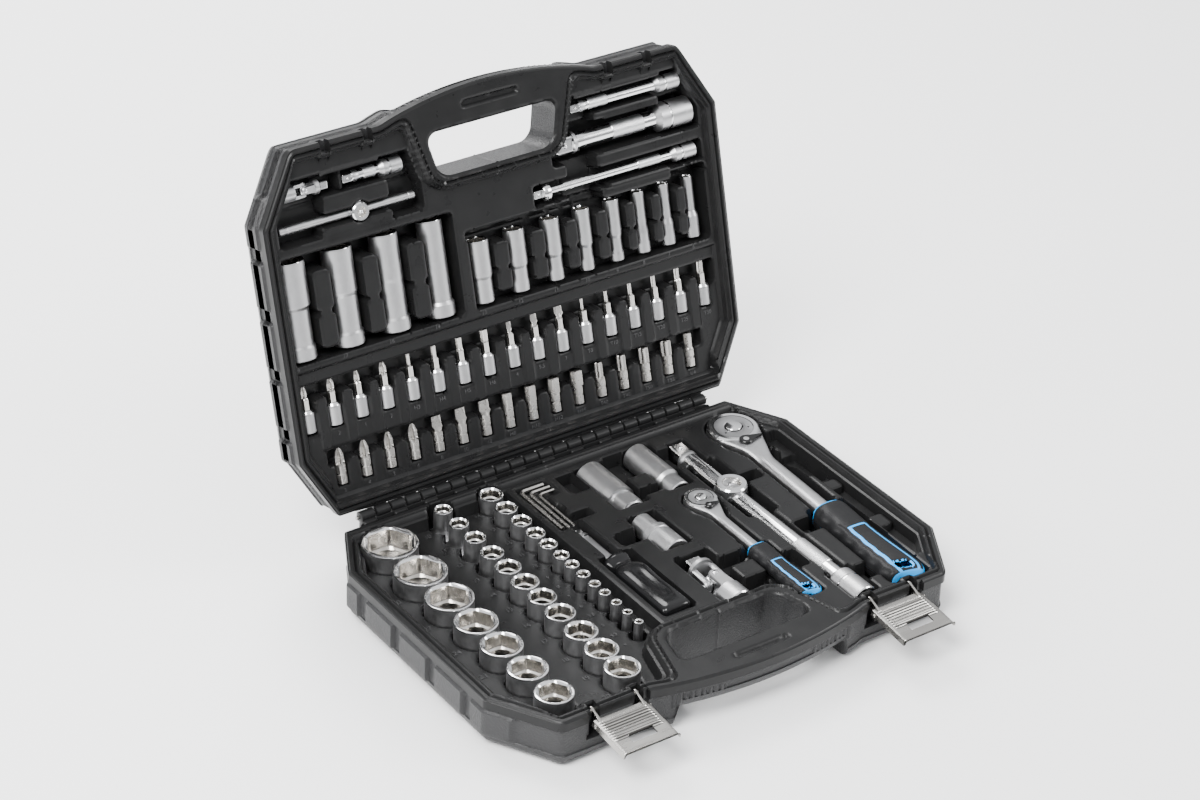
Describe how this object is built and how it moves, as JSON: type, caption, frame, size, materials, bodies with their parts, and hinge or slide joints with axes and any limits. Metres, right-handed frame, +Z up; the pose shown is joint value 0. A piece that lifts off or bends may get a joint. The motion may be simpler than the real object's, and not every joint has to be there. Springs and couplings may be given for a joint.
{
  "type": "socket wrench set in case",
  "caption": "Socket wrench set with ratchets, extension bars, universal joints, long sockets, bits and hex keys in a hinged, double-walled carrying case with draw latches.",
  "frame": {"origin": "centre of the base's flat underside", "axes": "+X to the right, +Y from the handle towards the hinge, +Z up out of the base's tray"},
  "size_m": [0.4, 0.4399, 0.3312],
  "materials": {
    "case_plastic": "fine leather grain, charcoal black",
    "satin_chrome": "satin with polished mouths and rings",
    "zinc_plate": "bright zinc plate",
    "grip_rubber": "soft matt grip",
    "black_plastic": "smooth",
    "tool_steel": "fine brushed tool steel",
    "blue_accent": "bright blue soft plastic"
  },
  "bodies": {
    "base": {"base_case": "case_plastic", "hinge_rod": "zinc_plate", "latch_left_pin": "zinc_plate", "latch_right_pin": "zinc_plate"},
    "lid": {"lid_case": "case_plastic"},
    "latch_left_link": {"latch_left_link": "zinc_plate"},
    "latch_left_lever": {"latch_left_lever": "zinc_plate"},
    "latch_right_link": {"latch_right_link": "zinc_plate"},
    "latch_right_lever": {"latch_right_lever": "zinc_plate"},
    "socket_32": {"socket_32": "satin_chrome"},
    "socket_30": {"socket_30": "satin_chrome"},
    "socket_27": {"socket_27": "satin_chrome"},
    "socket_24": {"socket_24": "satin_chrome"},
    "socket_23": {"socket_23": "satin_chrome"},
    "socket_22": {"socket_22": "satin_chrome"},
    "socket_21": {"socket_21": "satin_chrome"},
    "ratchet": {"ratchet_body": "satin_chrome", "ratchet_grip": "grip_rubber", "ratchet_cover": "satin_chrome"},
    "ratchet_drive": {"ratchet_drive": "satin_chrome"},
    "ratchet_button": {"ratchet_button": "satin_chrome"},
    "ratchet_lever": {"ratchet_lever": "black_plastic"},
    "small_ratchet": {"small_ratchet_body": "satin_chrome", "small_ratchet_grip": "grip_rubber", "small_ratchet_cover": "satin_chrome"},
    "small_ratchet_drive": {"small_ratchet_drive": "satin_chrome"},
    "small_ratchet_button": {"small_ratchet_button": "satin_chrome"},
    "small_ratchet_lever": {"small_ratchet_lever": "black_plastic"},
    "extension": {"extension_250": "satin_chrome"},
    "sliding_head": {"sliding_head": "satin_chrome"},
    "spark_socket_21": {"spark_socket_21": "satin_chrome", "spark_socket_21_rubber": "black_plastic"},
    "spark_socket_16": {"spark_socket_16": "satin_chrome", "spark_socket_16_rubber": "black_plastic"},
    "bit_adapter": {"bit_adapter": "satin_chrome"},
    "spinner": {"spinner_shaft": "satin_chrome", "spinner_grip": "grip_rubber"},
    "hex_key_1": {"hex_key_1": "tool_steel"},
    "hex_key_2": {"hex_key_2": "tool_steel"},
    "hex_key_3": {"hex_key_3": "tool_steel"},
    "universal_joint": {"universal_joint_socket_yoke": "satin_chrome"},
    "universal_joint_cross": {"universal_joint_cross": "zinc_plate"},
    "universal_joint_drive": {"universal_joint_drive_yoke": "satin_chrome"},
    "long_socket_19": {"long_socket_19": "satin_chrome"},
    "long_socket_17": {"long_socket_17": "satin_chrome"},
    "long_socket_16": {"long_socket_16": "satin_chrome"},
    "long_socket_14": {"long_socket_14": "satin_chrome"},
    "extension_100": {"extension_100": "satin_chrome"},
    "extension_125": {"extension_125": "satin_chrome"},
    "driver_bar_150": {"driver_bar_150": "satin_chrome"},
    "extension_50": {"extension_50": "satin_chrome"},
    "t_bar": {"t_bar": "satin_chrome"},
    "t_bar_head": {"t_bar_head": "satin_chrome"},
    "small_joint": {"small_joint_socket_yoke": "satin_chrome"},
    "small_joint_cross": {"small_joint_cross": "zinc_plate"},
    "small_joint_drive": {"small_joint_drive_yoke": "satin_chrome"}
  },
  "joints": [
    {"name": "lid_hinge", "type": "hinge", "parent": "base", "child": "lid", "pos_m": [0, 0.1461, 0.0422], "axis": [-1, 0, 0], "range_deg": [-105.3, 0]},
    {"name": "latch_left_swing", "type": "hinge", "parent": "base", "child": "latch_left_link", "pos_m": [-0.123, -0.132, 0.035], "axis": [-1, 0, 0], "range_deg": [0, 105]},
    {"name": "latch_left_fold", "type": "hinge", "parent": "latch_left_link", "child": "latch_left_lever", "pos_m": [-0.123, -0.1435, 0.03], "axis": [-1, 0, 0], "range_deg": [0, 100]},
    {"name": "latch_right_swing", "type": "hinge", "parent": "base", "child": "latch_right_link", "pos_m": [0.123, -0.132, 0.035], "axis": [-1, 0, 0], "range_deg": [0, 105]},
    {"name": "latch_right_fold", "type": "hinge", "parent": "latch_right_link", "child": "latch_right_lever", "pos_m": [0.123, -0.1435, 0.03], "axis": [-1, 0, 0], "range_deg": [0, 100]},
    {"name": "socket_32_lift", "type": "slide", "parent": "base", "child": "socket_32", "axis": [0, 0, 1], "range_m": [0, 0.05]},
    {"name": "socket_30_lift", "type": "slide", "parent": "base", "child": "socket_30", "axis": [0, 0, 1], "range_m": [0, 0.05]},
    {"name": "socket_27_lift", "type": "slide", "parent": "base", "child": "socket_27", "axis": [0, 0, 1], "range_m": [0, 0.05]},
    {"name": "socket_24_lift", "type": "slide", "parent": "base", "child": "socket_24", "axis": [0, 0, 1], "range_m": [0, 0.05]},
    {"name": "socket_23_lift", "type": "slide", "parent": "base", "child": "socket_23", "axis": [0, 0, 1], "range_m": [0, 0.05]},
    {"name": "socket_22_lift", "type": "slide", "parent": "base", "child": "socket_22", "axis": [0, 0, 1], "range_m": [0, 0.05]},
    {"name": "socket_21_lift", "type": "slide", "parent": "base", "child": "socket_21", "axis": [0, 0, 1], "range_m": [0, 0.05]},
    {"name": "ratchet_lift", "type": "slide", "parent": "base", "child": "ratchet", "axis": [0, 0, 1], "range_m": [0, 0.06]},
    {"name": "ratchet_drive_spin", "type": "hinge", "parent": "ratchet", "child": "ratchet_drive", "pos_m": [0.158, 0.105, 0.025], "axis": [0, 0, 1], "continuous": true},
    {"name": "ratchet_button_press", "type": "slide", "parent": "ratchet", "child": "ratchet_button", "axis": [0, 0, -1], "range_m": [0, 0.0015], "stiffness_N_per_m": 300, "springref_m": -0.002},
    {"name": "ratchet_lever_turn", "type": "hinge", "parent": "ratchet", "child": "ratchet_lever", "pos_m": [0.15721, 0.08359, 0.039], "axis": [0, 0, 1], "range_deg": [0, 45]},
    {"name": "small_ratchet_lift", "type": "slide", "parent": "base", "child": "small_ratchet", "axis": [0, 0, 1], "range_m": [0, 0.06]},
    {"name": "small_ratchet_drive_spin", "type": "hinge", "parent": "small_ratchet", "child": "small_ratchet_drive", "pos_m": [0.077, 0.038, 0.025], "axis": [0, 0, 1], "continuous": true},
    {"name": "small_ratchet_button_press", "type": "slide", "parent": "small_ratchet", "child": "small_ratchet_button", "axis": [0, 0, -1], "range_m": [0, 0.0015], "stiffness_N_per_m": 300, "springref_m": -0.002},
    {"name": "small_ratchet_lever_turn", "type": "hinge", "parent": "small_ratchet", "child": "small_ratchet_lever", "pos_m": [0.07677, 0.02474, 0.039], "axis": [0, 0, 1], "range_deg": [0, 45]},
    {"name": "extension_lift", "type": "slide", "parent": "base", "child": "extension", "axis": [0, 0, 1], "range_m": [0, 0.06]},
    {"name": "sliding_head_slide", "type": "slide", "parent": "extension", "child": "sliding_head", "axis": [0, 1, 0], "range_m": [-0.028, 0.028]},
    {"name": "spark_socket_21_lift", "type": "slide", "parent": "base", "child": "spark_socket_21", "axis": [0, 0, 1], "range_m": [0, 0.05]},
    {"name": "spark_socket_16_lift", "type": "slide", "parent": "base", "child": "spark_socket_16", "axis": [0, 0, 1], "range_m": [0, 0.05]},
    {"name": "bit_adapter_lift", "type": "slide", "parent": "base", "child": "bit_adapter", "axis": [0, 0, 1], "range_m": [0, 0.05]},
    {"name": "spinner_lift", "type": "slide", "parent": "base", "child": "spinner", "axis": [0, 0, 1], "range_m": [0, 0.05]},
    {"name": "hex_key_1_lift", "type": "slide", "parent": "base", "child": "hex_key_1", "axis": [0, 0, 1], "range_m": [0, 0.04]},
    {"name": "hex_key_2_lift", "type": "slide", "parent": "base", "child": "hex_key_2", "axis": [0, 0, 1], "range_m": [0, 0.05]},
    {"name": "hex_key_3_lift", "type": "slide", "parent": "base", "child": "hex_key_3", "axis": [0, 0, 1], "range_m": [0, 0.06]},
    {"name": "universal_joint_lift", "type": "slide", "parent": "base", "child": "universal_joint", "axis": [0, 0, 1], "range_m": [0, 0.06]},
    {"name": "universal_joint_cross_turn", "type": "hinge", "parent": "universal_joint", "child": "universal_joint_cross", "pos_m": [0.028, -0.047, 0.0275], "axis": [1, 0, 0], "range_deg": [0, 40]},
    {"name": "universal_joint_drive_turn", "type": "hinge", "parent": "universal_joint_cross", "child": "universal_joint_drive", "pos_m": [0.028, -0.047, 0.0275], "axis": [0, 0, 1], "range_deg": [-6, 6]},
    {"name": "long_socket_19_lift", "type": "slide", "parent": "lid", "child": "long_socket_19", "axis": [0, -0.9646, 0.2639], "range_m": [0, 0.045]},
    {"name": "long_socket_17_lift", "type": "slide", "parent": "lid", "child": "long_socket_17", "axis": [0, -0.9646, 0.2639], "range_m": [0, 0.045]},
    {"name": "long_socket_16_lift", "type": "slide", "parent": "lid", "child": "long_socket_16", "axis": [0, -0.9646, 0.2639], "range_m": [0, 0.045]},
    {"name": "long_socket_14_lift", "type": "slide", "parent": "lid", "child": "long_socket_14", "axis": [0, -0.9646, 0.2639], "range_m": [0, 0.045]},
    {"name": "extension_100_lift", "type": "slide", "parent": "lid", "child": "extension_100", "axis": [0, -0.9646, 0.2639], "range_m": [0, 0.045]},
    {"name": "extension_125_lift", "type": "slide", "parent": "lid", "child": "extension_125", "axis": [0, -0.9646, 0.2639], "range_m": [0, 0.045]},
    {"name": "driver_bar_150_lift", "type": "slide", "parent": "lid", "child": "driver_bar_150", "axis": [0, -0.9646, 0.2639], "range_m": [0, 0.045]},
    {"name": "extension_50_lift", "type": "slide", "parent": "lid", "child": "extension_50", "axis": [0, -0.9646, 0.2639], "range_m": [0, 0.045]},
    {"name": "t_bar_lift", "type": "slide", "parent": "lid", "child": "t_bar", "axis": [0, -0.9646, 0.2639], "range_m": [0, 0.045]},
    {"name": "t_bar_head_slide", "type": "slide", "parent": "t_bar", "child": "t_bar_head", "axis": [1, 0, 0], "range_m": [-0.045, 0.035]},
    {"name": "small_joint_lift", "type": "slide", "parent": "lid", "child": "small_joint", "axis": [0, -0.9646, 0.2639], "range_m": [0, 0.045]},
    {"name": "small_joint_cross_turn", "type": "hinge", "parent": "small_joint", "child": "small_joint_cross", "pos_m": [-0.159, 0.22314, 0.28249], "axis": [0, -0.9646, 0.2639], "range_deg": [-6, 6]},
    {"name": "small_joint_drive_turn", "type": "hinge", "parent": "small_joint_cross", "child": "small_joint_drive", "pos_m": [-0.159, 0.22314, 0.28249], "axis": [0, 0.2639, 0.9646], "range_deg": [0, 40]}
  ]
}
